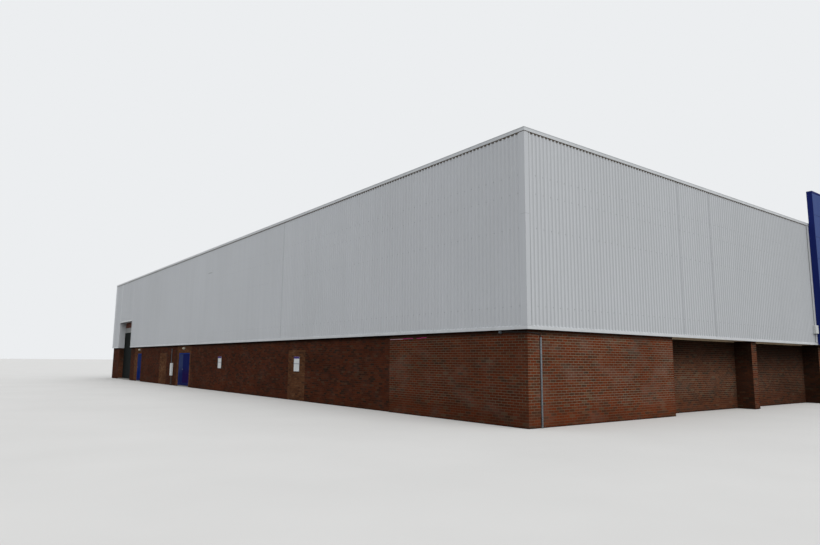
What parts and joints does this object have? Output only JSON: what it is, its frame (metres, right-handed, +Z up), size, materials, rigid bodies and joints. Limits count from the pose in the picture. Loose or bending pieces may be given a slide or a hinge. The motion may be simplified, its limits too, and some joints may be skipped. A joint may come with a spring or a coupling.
{
  "type": "supermarket building, scale model at 1:2",
  "caption": "Flat-roofed supermarket hall at half size: brick base, ribbed white cladding, blue sign portal, recessed front, loading bay and hinged side doors.",
  "frame": {"origin": "middle of the building's outer box at ground level", "axes": "+X along the front to the right, +Y from the front to the back, +Z up; the front with its blue portal faces -Y and the side with the loading bay faces -X"},
  "size_m": [26.38, 24.812, 4.91],
  "materials": {
    "brick": "red multi facing brick with grey mortar, weathered",
    "newer_brick": "newer orange-red brick, less weathered",
    "concrete": "power-floated concrete",
    "white_cladding": "off-white coil-coated steel, satin",
    "white_flashing": "white coated folded flashing, satin",
    "soffit_board": "beige coated board",
    "window_frame": "powder-coated aluminium, satin",
    "window_glass": "clear glass with a faint green edge",
    "roof_sheet": "light grey coated standing-seam sheet",
    "galvanised_steel": "galvanised, dull",
    "blue_panel": "blue composite panel, satin",
    "blue_door_paint": "blue gloss paint, faded and scuffed",
    "shutter_steel": "dark grey-green painted laths",
    "pale_steel": "pale grey painted steel",
    "lamp_lens": "opal lens, yellowed",
    "white_plastic": "white moulded plastic",
    "grey_plastic": "grey moulded plastic"
  },
  "bodies": {
    "building": {"floor_slab": "concrete", "corner_floors": "concrete", "door_sills": "concrete", "corner_walls": "brick", "recess_returns": "brick", "recess_walls": "brick", "front_piers": "brick", "recess_soffits": "soffit_board", "entrance_frame": "window_frame", "entrance_doors": "window_frame", "entrance_glass": "window_glass", "side_wall_near": "brick", "side_wall_middle": "brick", "side_wall_far": "brick", "bay_side_walls": "brick", "bricked_doorways": "newer_brick", "double_door_surround": "newer_brick", "side_door_surround": "newer_brick", "back_wall": "brick", "right_wall": "brick", "front_cladding": "white_cladding", "side_cladding": "white_cladding", "bay_cladding": "white_cladding", "right_cladding": "white_cladding", "back_cladding": "white_cladding", "corner_flashings": "white_flashing", "drip_flashing": "white_flashing", "end_cappings": "white_flashing", "side_cappings": "white_flashing", "roof_front_slope": "roof_sheet", "roof_back_slope": "roof_sheet", "ridge_capping": "roof_sheet", "gutters": "galvanised_steel", "portal_panel": "blue_panel", "portal_rails": "blue_panel", "side_door_frame": "blue_door_paint", "double_door_frame": "blue_door_paint", "bay_lining": "white_cladding", "bay_head_wall": "brick", "shutter_hood": "pale_steel", "roller_shutter": "shutter_steel", "bulkhead_lamps": "lamp_lens", "meter_box": "white_plastic", "wall_conduits": "galvanised_steel", "notice_plates": "white_plastic", "alarm_box": "white_plastic", "corner_sensor": "grey_plastic"},
    "side_door": {"side_door_leaf": "blue_door_paint"},
    "double_door_wide": {"double_door_wide_leaf": "blue_door_paint"},
    "double_door_narrow": {"double_door_narrow_leaf": "blue_door_paint"}
  },
  "joints": [
    {"name": "side_door_hinge", "type": "hinge", "parent": "building", "child": "side_door", "pos_m": [-13.12, 7.5935, 0.03], "axis": [0, 0, 1], "range_deg": [0, 105]},
    {"name": "wide_leaf_hinge", "type": "hinge", "parent": "building", "child": "double_door_wide", "pos_m": [-13.12, 1.8235, 0.03], "axis": [0, 0, 1], "range_deg": [0, 105]},
    {"name": "narrow_leaf_hinge", "type": "hinge", "parent": "building", "child": "double_door_narrow", "pos_m": [-13.12, 2.8335, 0.03], "axis": [0, 0, -1], "range_deg": [0, 105]}
  ]
}
